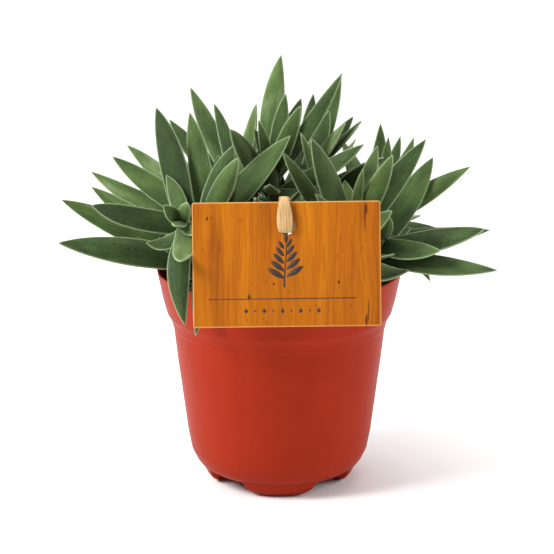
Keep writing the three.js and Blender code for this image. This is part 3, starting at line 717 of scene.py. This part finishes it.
# A fleshy blade: swollen above, with a fine raised margin, and rounded and slightly keeled below
def leaf_blade(gather, leaves, index, random):
    s = LEAF_STATIONS
    place, run, side, up = frames_of(leaves, index, s)
    width = leaves["width"][index]
    share = leaf_width(s)
    half = np.maximum(width / 2 * share, LEAST_HALF)
    thin = width * LEAF_THICKNESS * np.maximum(share, LEAST_SHARE)
    thin = thin * np.minimum(1, (1 - s) / TIP_ROUND + 0.1)
    top = across_points(half)
    turn = np.sqrt(np.clip(1 - (top / half[:, None]) ** 2, 0, 1))
    from_edge = half[:, None] - np.abs(top)
    swell = -random.uniform(-SWELL_MOST, 0.0) * np.minimum(1, s / SWELL_START)[:, None]
    crease = CREASE_DEPTH * np.exp(-(top / CREASE_WIDTH) ** 2) * (1 - s)[:, None]
    lip = LIP_HEIGHT * np.exp(-((from_edge - LIP_PLACE) / LIP_WIDTH) ** 2)
    lip = lip * np.minimum(1, half / LIP_FULL)[:, None]
    above = (SECTION_LIFT + SECTION_ABOVE * turn + swell * turn ** 2 - crease) * thin[:, None] + lip
    ridge = np.exp(-(top / (KEEL_WIDTH * half[:, None])) ** 2)
    keel = 1 + KEEL_HEIGHT * ridge * np.clip(s * 1.6 - 0.3, 0, 1)[:, None]
    below = (SECTION_LIFT - SECTION_BELOW * turn ** 0.9 * keel) * thin[:, None]
    wave = WAVE_HEIGHT * np.sin(s * random.uniform(9, 15) + random.uniform(0, 6.3))[:, None]
    wave = wave * (top / half[:, None])
    across = looped(top, top)
    height = looped(above + wave, below + wave)
    edge = looped(from_edge, from_edge * 1.25)
    points = place[:, None] + side[:, None] * across[..., None] + up[:, None] * height[..., None]
    points = np.concatenate([points.reshape(-1, 3), [place[-1] + run[-1] * TIP_REACH]])
    rings, around = across.shape
    last = (rings - 1) * around
    faces = ring_faces(rings, around, "open")
    faces += [(last + a, last + (a + 1) % around, rings * around) for a in range(around)]
    faces.append(tuple(range(around))[::-1])
    length = np.linalg.norm(leaves["tip"][index] - leaves["base"][index])
    along = np.append(np.repeat(s, around), 1.0)
    spots = np.c_[np.append(across, 0), along * length, np.full(len(along), index * PATTERN_STEP)]
    margin = np.clip(1.25 - edge / MARGIN_WIDTH, 0, 1).ravel() * np.clip(along[:-1] / 0.08, 0.25, 1)
    margin = np.append(margin, 0.3)
    tone = random.uniform(*TONE_RANGE)
    gather.add(points, faces, BLADE, leaf_place=spots, along=along, margin=margin, tone=tone)
    leaf_hairs(gather, leaves, index, random, length)


# Short pale hairs that stand out along both margins
def leaf_hairs(gather, leaves, index, random, length):
    count = int(length * HAIR_SPAN / HAIR_STEP)
    width = leaves["width"][index]
    corners = np.array([[1.0, 0.0], [-0.5, 0.87], [-0.5, -0.87]]) * HAIR_RADIUS
    faces = [tuple(4 * k + corner for corner in face) for k in range(count) for face in HAIR_FACES]
    for hand in (-1, 1):
        s = (np.arange(count) + random.uniform(0.2, 0.8, count)) / count * HAIR_SPAN + 0.04
        place, run, side, up = frames_of(leaves, index, s)
        share = leaf_width(s)
        aside = hand * (width / 2 * share - HAIR_ROOT)
        lifted = SECTION_LIFT * (width * LEAF_THICKNESS * np.maximum(share, LEAST_SHARE))
        root = place + side * aside[:, None] + up * lifted[:, None]
        lean = random.uniform(0.1, 0.7, count)[:, None]
        lift = random.uniform(-0.5, 0.8, count)[:, None]
        aim = unit(side * hand + run * lean + up * lift)
        end = root + aim * (HAIR_LENGTH * random.uniform(0.6, 1.2, count) + HAIR_ROOT)[:, None]
        base = root[:, None] + run[:, None] * corners[None, :, :1] + up[:, None] * corners[None, :, 1:]
        points = np.concatenate([base, end[:, None]], axis=1).reshape(-1, 3)
        spots = np.c_[np.full(count, hand), s * length, np.full(count, index * PATTERN_STEP)]
        spots, along = np.repeat(spots, 4, axis=0), np.repeat(s, 4)
        gather.add(points, faces, HAIR, leaf_place=spots, along=along, margin=1.0, tone=0.5)


STEM_AROUND, STEM_RINGS = 14, 30
NODE_SWELL, NODE_LONG = 0.18, 0.9


# A stem swells a little where each pair of leaves sits, and runs down into its hole in the soil
def stem(gather, shoot, random):
    x, y = shoot["foot"]
    lower = [(x, y, SOIL_TOP - depth) for depth in np.linspace(STEM_DEPTH, 1.2, 8)]
    path = np.concatenate([lower, stem_curve(shoot, STEM_RINGS)])
    radii = np.full(len(path), STEM_RADIUS * 0.94)
    for k in range(len(shoot["pairs"]) + 3):
        gap = np.linalg.norm(path - (shoot["crown"] - shoot["axis"] * PAIR_STEP * k), axis=1)
        radii += NODE_SWELL * np.exp(-(gap / NODE_LONG) ** 2)
    radii *= 1 + 0.02 * np.sin(np.arange(len(path)) * 1.9 + random.uniform(0, 6))
    radii[-1] *= 0.6
    points = tube_rings(path, radii, STEM_AROUND)
    gather.add(points, ring_faces(len(path), STEM_AROUND), STEM, leaf_place=points, along=0.5, tone=0.5)


def make_plant():
    leaves = leaf_table()
    bend_clear(leaves)
    materials = [leaf_material(), hair_material(), stem_material()]
    for number, (name, shoot) in enumerate(SHOOTS.items()):
        random = np.random.default_rng(100 + number)
        gather = Gather("leaf_place", "along", "margin", "tone")
        for index in np.nonzero(leaves["shoot"] == number)[0]:
            leaf_blade(gather, leaves, index, random)
        stem(gather, shoot, random)
        gather.piece("fine_shoot_" + name, materials, "leaf", "shoot_" + name)


# Pot
POT_AROUND = 192
POT_SOFT, FOOT_SOFT = 0.55, 0.7
FLOOR_TOP = FOOT_HEIGHT + FLOOR_THICKNESS
# Radius and height along the outer wall from the base up, and along the inner wall from the rim down
OUTER_WALL = [
    (32.5, FOOT_HEIGHT), (35.4, 6.4), (39.4, 8.8), (41.2, 11.2), (43.5, 16), (45.2, 25), (49.9, 61.6),
    (NECK_RADIUS - 0.35, NECK_HEIGHT - 0.5), (NECK_RADIUS, NECK_HEIGHT), (52.5, 80.6), (53.3, 83),
    (55.1, 86), (56.9, 93), (RIM_RADIUS, POT_HEIGHT),
]
INNER_WALL = [*((r - WALL, z) for r, z in OUTER_WALL[:2:-1]), (35, FLOOR_TOP)]


# Rounds each corner of an outline with a few points of a quadratic curve
def rounded(points, radius, steps=3):
    result = [points[0]]
    for before, corner, after in zip(points, points[1:], points[2:]):
        before, corner, after = (np.array(p, float) for p in (before, corner, after))
        into, out = before - corner, after - corner
        a = corner + into * min(radius / np.linalg.norm(into), 0.45)
        b = corner + out * min(radius / np.linalg.norm(out), 0.45)
        for k in range(steps + 1):
            t = k / steps
            result.append(tuple(a * (1 - t) ** 2 + corner * 2 * t * (1 - t) + b * t * t))
    return result + [points[-1]]


# Adds points close to the ends of long stretches, so that smooth shading stays at the corners
def supported(outline, near=0.6, long=3.0):
    result = [outline[0]]
    for first, second in zip(outline, outline[1:]):
        first, second = np.array(first, float), np.array(second, float)
        length = np.linalg.norm(second - first)
        if length > long:
            step = (second - first) * (near / length)
            result += [tuple(first + step), tuple(second - step)]
        result.append(tuple(second))
    return result


def make_pot(material):
    walls = rounded([*OUTER_WALL, *INNER_WALL], POT_SOFT)
    profile = supported([(DRAIN_RADIUS, FOOT_HEIGHT), *walls, (DRAIN_RADIUS, FLOOR_TOP)])
    turn = np.linspace(0, 2 * np.pi, POT_AROUND, endpoint=False)
    ring = np.c_[np.cos(turn), np.sin(turn)]
    points = np.concatenate([np.c_[ring * r, np.full(POT_AROUND, z)] for r, z in profile])
    gather = Gather()
    gather.add(points, ring_faces(len(profile), POT_AROUND, "joined"))
    piece = gather.piece("fine_pot", [material], "pot_plastic", "pot")
    for k in range(DRAIN_COUNT):
        turn = math.pi / 4 + k * 2 * math.pi / DRAIN_COUNT
        cut_round(piece, DRAIN_CIRCLE * math.cos(turn), DRAIN_CIRCLE * math.sin(turn))


def cut_round(piece, x, y):
    bpy.ops.mesh.primitive_cylinder_add(vertices=32, radius=DRAIN_RADIUS * MM, depth=12 * MM)
    cutter = bpy.context.object
    cutter.location = Vector((x, y, FOOT_HEIGHT)) * MM + Vector(POT_PLACE)
    cut = piece.modifiers.new("drain", "BOOLEAN")
    cut.object = cutter
    cut.solver = "EXACT"
    bpy.context.view_layer.update()
    done = bpy.data.meshes.new_from_object(piece.evaluated_get(bpy.context.evaluated_depsgraph_get()))
    piece.modifiers.clear()
    piece.data = done
    bpy.data.objects.remove(cutter)


# Places across a foot, from flank to flank, and how far its lower edge is lifted there
FLANK = [(1, 0.5), (0.98, 0.15), (0.94, 0)]
FOOT_SECTIONS = [*FLANK, *((k / 8, 0) for k in range(7, -8, -1)), *((-x, lift) for x, lift in FLANK[::-1])]


# Four low feet: each a soft-edged profile swept round the pot, whose flanks spread upwards
def make_feet(material):
    gather = Gather()
    profile = np.array(rounded(FOOT_PROFILE, FOOT_SOFT)[:-1])
    radius, height = profile[:, 0], profile[:, 1]
    share = np.clip(height / FOOT_HEIGHT, 0, 1)
    half = FOOT_GROUND + (FOOT_TOP - FOOT_GROUND) * share * share * (3 - 2 * share)
    for index in range(FOOT_COUNT):
        middle = -math.pi / 2 + index * 2 * math.pi / FOOT_COUNT
        points = []
        for across, inset in FOOT_SECTIONS:
            turn = middle + half * across
            lift = np.where(height < 0.5, inset, 0)
            points.append(np.c_[np.cos(turn) * radius, np.sin(turn) * radius, height + lift])
        gather.add(np.concatenate(points), ring_faces(len(FOOT_SECTIONS), len(profile)))
    gather.piece("pot_feet", [material], "pot_plastic")


# Soil
SOIL_AROUND, SOIL_RINGS = 160, 54
SOIL_DIP, SOIL_SOFT = 1.6, 0.06
# Spacing, seed and height of each layer of the surface's roughness
SOIL_LAYERS = [(7.0, 1, 0.9), (2.6, 2, 0.5), (1.9, 3, 0.3)]


# Smooth random heights over a plane, from a seeded lattice of the given spacing
def height_noise(x, y, spacing, seed):
    lattice = np.random.default_rng(seed).uniform(-1, 1, (64, 64))
    u, v = x / spacing + 30, y / spacing + 30
    i, j = np.floor(u).astype(int), np.floor(v).astype(int)
    a, b = u - i, v - j
    a, b = a * a * (3 - 2 * a), b * b * (3 - 2 * b)
    i, j = i % 63, j % 63
    near = lattice[i, j] * (1 - a) + lattice[i + 1, j] * a
    far = lattice[i, j + 1] * (1 - a) + lattice[i + 1, j + 1] * a
    return near * (1 - b) + far * b


def soil_height(x, y):
    share = np.clip(np.hypot(x, y) / SOIL_EDGE, 0, 1)
    mound = SOIL_TOP - SOIL_DIP + SOIL_MOUND * (1 - share ** 2)
    rough = sum(height_noise(x, y, spacing, seed) * high for spacing, seed, high in SOIL_LAYERS)
    return mound + rough * np.clip((1 - share) / SOIL_SOFT, 0, 1)


def make_soil(material):
    turn = np.linspace(0, 2 * np.pi, SOIL_AROUND, endpoint=False)
    cos, sin = np.cos(turn), np.sin(turn)
    wall = [(r - TOUCH_GAP * 1.2, z + 0.2) for r, z in INNER_WALL[::-1] if z < SOIL_TOP - 3]
    rows = [(r, np.full(SOIL_AROUND, z)) for r, z in wall]
    rows += [(r, soil_height(r * cos, r * sin)) for r in np.linspace(SOIL_EDGE, 0.4, SOIL_RINGS)]
    gather = Gather()
    points = np.concatenate([np.c_[r * cos, r * sin, z] for r, z in rows])
    gather.add(points, ring_faces(len(rows), SOIL_AROUND))
    gather.piece("fine_soil", [material], "soil", "soil")


# Crumbs of peat and a few pale grains, half sunk in the soil's surface
def make_crumbs(name, count, sizes, seed, material):
    random = np.random.default_rng(seed)
    bpy.ops.mesh.primitive_ico_sphere_add(subdivisions=2, radius=1.0)
    ball = bpy.context.object
    form = np.array([vertex.co[:] for vertex in ball.data.vertices])
    faces = [tuple(face.vertices) for face in ball.data.polygons]
    bpy.data.objects.remove(ball)
    gather = Gather()
    for _ in range(count):
        radius = (SOIL_EDGE - 3) * math.sqrt(random.uniform())
        turn = random.uniform(0, 2 * math.pi)
        x, y = radius * math.cos(turn), radius * math.sin(turn)
        size = random.uniform(*sizes)
        lump = form * (1 + random.normal(0, 0.16, (len(form), 1))) * random.uniform(0.55, 1.0, 3) * size
        spin = Matrix.Rotation(random.uniform(0, 6.28), 3, "Z")
        spin = spin @ Matrix.Rotation(random.uniform(0, 3.14), 3, "X")
        height = float(soil_height(np.array([x]), np.array([y]))[0]) + size * 0.15
        gather.add(lump @ np.array(spin) + [x, y, height], faces)
    gather.piece(name, [material], "soil")


# Card, its print and its band
CARD_UPRIGHT = np.array(Matrix.Rotation(math.pi / 2 - CARD_LEAN, 3, "X"))
CARD_FRAME = CARD_UPRIGHT @ np.array(Matrix.Rotation(CARD_TURN, 3, "Z"))
# Rings round the hole and near the card's edge: how far out or in, how far below the face, and how pale
HOLE_RINGS = [(0.05, 0.2, 0.3), (0.25, 0, 0.5), (0.55, 0, 0)]
EDGE_RINGS = [(0.75, 0, 0), (0.4, 0, 0.45), (0.15, 0.02, 0.9), (0, 0.22, 1)]


def on_card(points):
    return np.asarray(points, float) @ CARD_FRAME.T + CARD_PLACE


def card_outline(inset):
    x, y, r = CARD_ACROSS / 2 - inset, CARD_TALL / 2 - inset, max(CARD_CORNER - inset, 0.3)
    points = []
    for index, (cx, cy) in enumerate([(x - r, y - r), (r - x, y - r), (r - x, r - y), (x - r, r - y)]):
        for k in range(6):
            turn = math.pi / 2 * (index + k / 5)
            points.append((cx + r * math.cos(turn), cy + r * math.sin(turn)))
        nx, ny = [(r - x, y), (-x, r - y), (x - r, -y), (x, y - r)][index]
        last = np.array(points[-1])
        points += [tuple(last + (np.array([nx, ny]) - last) * t) for t in np.linspace(0, 1, 14)[1:-1]]
    return np.array(points)


def make_card(material):
    outer = card_outline(0)
    angle = np.arctan2(outer[:, 1] - HOLE_UP, outer[:, 0])
    circle = np.c_[np.cos(angle), np.sin(angle)]
    side = [(circle * (HOLE_RADIUS + out) + [0, HOLE_UP], low, pale) for out, low, pale in HOLE_RINGS]
    side += [(card_outline(inset), low, pale) for inset, low, pale in EDGE_RINGS]
    half = CARD_THICK / 2
    layers = [(ring, z * (half - low), pale) for z in (1, -1) for ring, low, pale in side[::z]]
    points = np.concatenate([np.c_[ring, np.full(len(ring), height)] for ring, height, _ in layers])
    pale = np.repeat([pale for _, _, pale in layers], len(outer))
    faces = [face[::-1] for face in ring_faces(len(layers), len(outer), "joined")]
    gather = Gather("card_place", "pale_edge")
    gather.add(on_card(points), faces, card_place=points, pale_edge=pale)
    gather.piece("fine_card", [material], "card", "label_card")


# Flat shapes of ink on the card's front, each a thin plate
INK_THICK, INK_GAP = 0.05, 0.012


def ink(gather, outline):
    front = CARD_THICK / 2 + INK_GAP
    sides = [np.c_[np.array(outline, float), np.full(len(outline), z)] for z in (front, front + INK_THICK)]
    gather.add(on_card(np.concatenate(sides)), ring_faces(2, len(outline)))


def ink_stroke(gather, points, width):
    run = unit(np.gradient(points, axis=0))
    cross = np.c_[-run[:, 1], run[:, 0]] * width[:, None] / 2
    ink(gather, np.concatenate([points - cross, (points + cross)[::-1]]))


def ink_leaf(gather, x, y, turn, length, width):
    share = np.linspace(0.02, 0.98, 9)
    half = width / 2 * np.sin(np.pi * share) ** 0.8
    shape = np.concatenate([np.c_[share * length, -half], np.c_[share * length, half][::-1]])
    spin = np.array([[math.cos(turn), math.sin(turn)], [-math.sin(turn), math.cos(turn)]])
    ink(gather, shape @ spin + [x, y])


RULE_LEFT, RULE_RIGHT, RULE_LOW, RULE_HIGH = -36.1, 31.9, -16.0, -15.6
TWIG_PLACE, TWIG_LEAVES, TWIG_STEP = -0.6, 5, 3.4
LOZENGE_MIDDLE, LOZENGE_STEP, LOZENGE_UP = -2.2, 4.2, -21.4


# A plain rule, a leafy twig and a row of small lozenges
def make_print(material):
    gather = Gather()
    ink(gather, [(RULE_LEFT, RULE_LOW), (RULE_RIGHT, RULE_LOW),
                 (RULE_RIGHT, RULE_HIGH), (RULE_LEFT, RULE_HIGH)])
    up = np.linspace(-10.5, 9.5, 15)
    ink_stroke(gather, np.c_[TWIG_PLACE + 0.6 * np.sin(up * 0.16), up], np.linspace(0.75, 0.35, 15))
    for k in range(TWIG_LEAVES):
        height = -6.5 + k * TWIG_STEP
        for hand in (-1, 1):
            turn = math.pi / 2 - hand * math.radians(58 - 6 * k)
            spot = (TWIG_PLACE + hand * 0.5, height + (hand > 0) * 0.8)
            ink_leaf(gather, *spot, turn, 9.2 - k * 1.1, 2.7 - 0.25 * k)
    ink_leaf(gather, -0.2, 9.8, math.pi / 2, 4.6, 1.8)
    for k in range(-4, 5):
        reach = 1.0 if k % 2 == 0 else 0.5
        x, y = LOZENGE_MIDDLE + k * LOZENGE_STEP, LOZENGE_UP
        ink(gather, [(x - reach, y), (x, y - reach * 1.2), (x + reach, y), (x, y + reach * 1.2)])
    gather.piece("card_print", [material], "card")


# Centripetal Catmull-Rom curve through points
def curve_through(points, steps):
    points = np.array(points, float)
    points = np.concatenate([[2 * points[0] - points[1]], points, [2 * points[-1] - points[-2]]])
    knots = np.r_[0, np.cumsum(np.sqrt(np.linalg.norm(np.diff(points, axis=0), axis=1)))]
    result = []

    def between(first, second, start, end, t):
        return (first * (end - t) + second * (t - start)) / (end - start)

    for i in range(1, len(points) - 2):
        p, k = points[i - 1:i + 3], knots[i - 1:i + 3]
        for t in np.linspace(k[1], k[2], steps, endpoint=False):
            a = [between(p[j], p[j + 1], k[j], k[j + 1], t) for j in range(3)]
            b = [between(a[j], a[j + 1], k[j], k[j + 2], t) for j in range(2)]
            result.append(between(b[0], b[1], k[1], k[2], t))
    result.append(points[-2])
    return np.array(result)


FIBRE_AROUND, STRAND_AROUND = 40, 6


# A flat bundle of fibres along a path, its wide side across the given direction
def fibre_bundle(gather, path, across, wide, thick, seed):
    run = unit(np.gradient(path, axis=0))
    side = unit(across - run * (run @ across)[:, None])
    up = np.cross(side, run)
    angle = np.linspace(0, 2 * np.pi, FIBRE_AROUND, endpoint=False)
    length = np.r_[0, np.cumsum(np.linalg.norm(np.diff(path, axis=0), axis=1))][:, None]
    wide = np.broadcast_to(wide, len(path))[:, None]
    thick = np.broadcast_to(thick, len(path))[:, None]
    waves = (np.sin(angle * n + seed * n + length * 0.05 * n) / n for n in (9, 13, 17))
    grooves = sum(waves) * 1.3
    x = np.cos(angle) * wide / 2 * (1 + 0.04 * grooves)
    y = np.sign(np.sin(angle)) * np.abs(np.sin(angle)) ** 0.8 * thick / 2 * (1 + 0.10 * grooves)
    points = path[:, None] + side[:, None] * x[..., None] + up[:, None] * y[..., None]
    along = np.repeat(length, FIBRE_AROUND, axis=1)
    spots = np.stack([x + np.sign(y) * 20, along, np.full_like(x, seed * 3.1)], axis=-1).reshape(-1, 3)
    gather.add(points.reshape(-1, 3), ring_faces(len(path), FIBRE_AROUND), fibre_place=spots)


def fibre_strand(gather, path, radius, seed):
    step = np.arange(len(path))
    taper = np.minimum(1, np.minimum(step, step[::-1]) / 4 + 0.3)
    points = tube_rings(path, radius * taper, STRAND_AROUND)
    spots = np.c_[np.full(len(points), seed * 5.0), np.repeat(step, STRAND_AROUND), np.zeros(len(points))]
    gather.add(points, ring_faces(len(path), STRAND_AROUND), fibre_place=spots)


# A smooth hump over a place along the band
def hump(share, place, spread):
    return np.exp(-((share - place) / spread) ** 2)


def make_band(material):
    top = CARD_TALL / 2
    gap = CARD_THICK / 2 + BAND_THICK / 2 + TOUCH_GAP
    route = [
        (0, top - 7, -gap - 2.4), (-0.6, top + 0.5, -gap - 0.3), (-1, top + 1.4 + TOUCH_GAP, 0),
        (-0.9, top - 0.6, gap + 0.5), (-0.7, top - 6, gap + 0.7), (-0.6, HOLE_UP - 1.2, gap + 0.3),
        (-0.4, HOLE_UP - 2.5, 0), (0, HOLE_UP - 1.6, -gap - 0.6), (0, top - 7.6, -gap - 2.4),
    ]
    path = curve_through(on_card(route), 12)
    share = np.linspace(0, len(route) - 1, len(path))
    wide = BAND_WIDE + 1.7 * hump(share, 4.3, 0.8) - 1.3 * hump(share, 2.2, 0.8)
    wide = wide + 2.4 * hump(share, 7, 0.9)
    thick = BAND_THICK * (1 - 0.12 * hump(share, 6, 0.8))
    gather = Gather("fibre_place")
    across = CARD_FRAME[:, 0]
    fibre_bundle(gather, path, across, wide, thick, 1)
    knot = on_card((0, top - 7.3, -gap - 2.6))
    make_knot(gather, knot)
    tie_to_stem(gather, knot)
    random = np.random.default_rng(7)
    for k in range(7):
        start = random.integers(8, 20)
        stretch = path[start:start + random.integers(24, 44)]
        shift = across * random.uniform(-2.2, 2.2) + random.normal(0, 0.12, 3)
        lift = unit(stretch - path.mean(0)) * 0.72
        fibre_strand(gather, stretch + shift + lift, 0.13, k)
    gather.piece("fine_band", [material], "raffia", "raffia_band")


# The knot behind the card: two short turns of the bundle, one over the other
def make_knot(gather, centre):
    turn = np.linspace(0, 2 * np.pi * 0.94, 30)[:, None]
    across, up, back = CARD_FRAME.T
    for seed, tilt in ((3, 0.35), (4, -0.4)):
        axis = unit(across + up * tilt)
        first = unit(np.cross(axis, back))
        path = centre + first * np.cos(turn) * 1.5 + np.cross(axis, first) * np.sin(turn) * 1.3
        fibre_bundle(gather, path, axis, 3.4, 0.9, seed)


# The tail that runs back from the knot and its ring round the carrying shoot's stem
def tie_to_stem(gather, knot):
    curve = stem_curve(SHOOTS[CARRIER], 200)
    spot = int(TIE_SHARE * 200)
    centre = curve[spot]
    along = unit(curve[spot + 1] - curve[spot - 1])
    radius = STEM_RADIUS + TOUCH_GAP + 1
    front = unit(np.array([0, -1.0, 0]) + along * along[1])
    meet = centre + front * radius
    tail = curve_through([knot, (knot + meet) / 2 + [0, 0, -2], meet], 14)
    fibre_bundle(gather, tail, np.array([1.0, 0, 0]), 2.3, 1.5, 5)
    turn = np.linspace(0, 2 * np.pi * 0.97, 48)[:, None]
    ring = centre + (front * np.cos(turn) + np.cross(along, front) * np.sin(turn)) * radius
    fibre_bundle(gather, ring, along, 1.9, 1.3, 6)


# Floor, light and camera
FLOOR_REACH = 6.0
# Place, size and power of each lamp, in metres and watts
LAMPS = {"key": ((-0.95, -0.42, 0.9), 0.6, 26), "side": ((1.2, -0.05, 0.55), 0.8, 13)}
LAMP_AIM = (POT_PLACE[0], POT_PLACE[1], 0.12)
OVERHEAD_POWER, OVERHEAD_SPREAD = 2.4, math.radians(70)
# A white surround, and less light from it than its look would give, so that the lamps shape the leaves
ROOM_LIGHT, BACKDROP_LIGHT = 0.27, 1.0


def make_floor():
    mesh = bpy.data.meshes.new("floor")
    corners = [(x * FLOOR_REACH, y * FLOOR_REACH, 0) for x, y in ((-1, -1), (1, -1), (1, 1), (-1, 1))]
    mesh.from_pydata(corners, [], [(0, 1, 2, 3)])
    mesh.materials.append(plain_material("pale_floor", (0.86, 0.86, 0.86), 0.9))
    placed("floor", mesh)


def make_lights():
    for name, (place, size, power) in LAMPS.items():
        light = bpy.data.lights.new(name, "AREA")
        light.shape = "DISK"
        light.size = size
        light.energy = power
        lamp = placed(name, light)
        lamp.location = place
        lamp.rotation_euler = (Vector(LAMP_AIM) - Vector(place)).to_track_quat("-Z", "Y").to_euler()
    sun = bpy.data.lights.new("overhead", "SUN")
    sun.energy = OVERHEAD_POWER
    sun.angle = OVERHEAD_SPREAD
    placed("overhead", sun).rotation_euler = (math.radians(-12), math.radians(-8), 0)
    world = bpy.data.worlds.new("studio")
    world.use_nodes = True
    tree = world.node_tree
    background = tree.nodes["Background"]
    background.inputs["Color"].default_value = (1, 1, 1, 1)
    seen = tree.nodes.new("ShaderNodeLightPath").outputs["Is Camera Ray"]
    strength = tree.nodes.new("ShaderNodeMapRange")
    strength.inputs["To Min"].default_value = ROOM_LIGHT
    strength.inputs["To Max"].default_value = BACKDROP_LIGHT
    tree.links.new(seen, strength.inputs["Value"])
    tree.links.new(strength.outputs["Result"], background.inputs["Strength"])
    bpy.context.scene.world = world
    bpy.context.scene.view_settings.view_transform = "Standard"


def make_camera():
    data = bpy.data.cameras.new("photo_view")
    data.sensor_width = 36
    data.lens = data.sensor_width * FOCAL_PIXELS / PHOTO_SIDE
    data.clip_start, data.clip_end = 0.05, 20
    camera = placed("photo_view", data)
    away = Vector((0, -math.cos(CAMERA_RISE), math.sin(CAMERA_RISE))) * CAMERA_DISTANCE * MM
    camera.location = Vector(CAMERA_TARGET * MM + POT_PLACE) + away
    camera.rotation_euler = (-away).to_track_quat("-Z", "Y").to_euler()
    bpy.context.scene.camera = camera


make_camera()
make_lights()
make_floor()
plastic = pot_material()
make_pot(plastic)
make_feet(plastic)
make_soil(soil_material())
peat_crumb = grain_material("peat_crumb", (0.012, 0.007, 0.004), (0.085, 0.055, 0.032))
make_crumbs("peat_crumbs", 700, (0.5, 1.7), 11, peat_crumb)
pale_grain = grain_material("pale_grain", (0.42, 0.38, 0.31), (0.74, 0.71, 0.64))
make_crumbs("pale_grains", 36, (0.6, 1.3), 12, pale_grain)
make_plant()
make_card(card_material())
make_print(plain_material("dark_ink", (0.024, 0.008, 0.003), 0.7))
make_band(raffia_material())
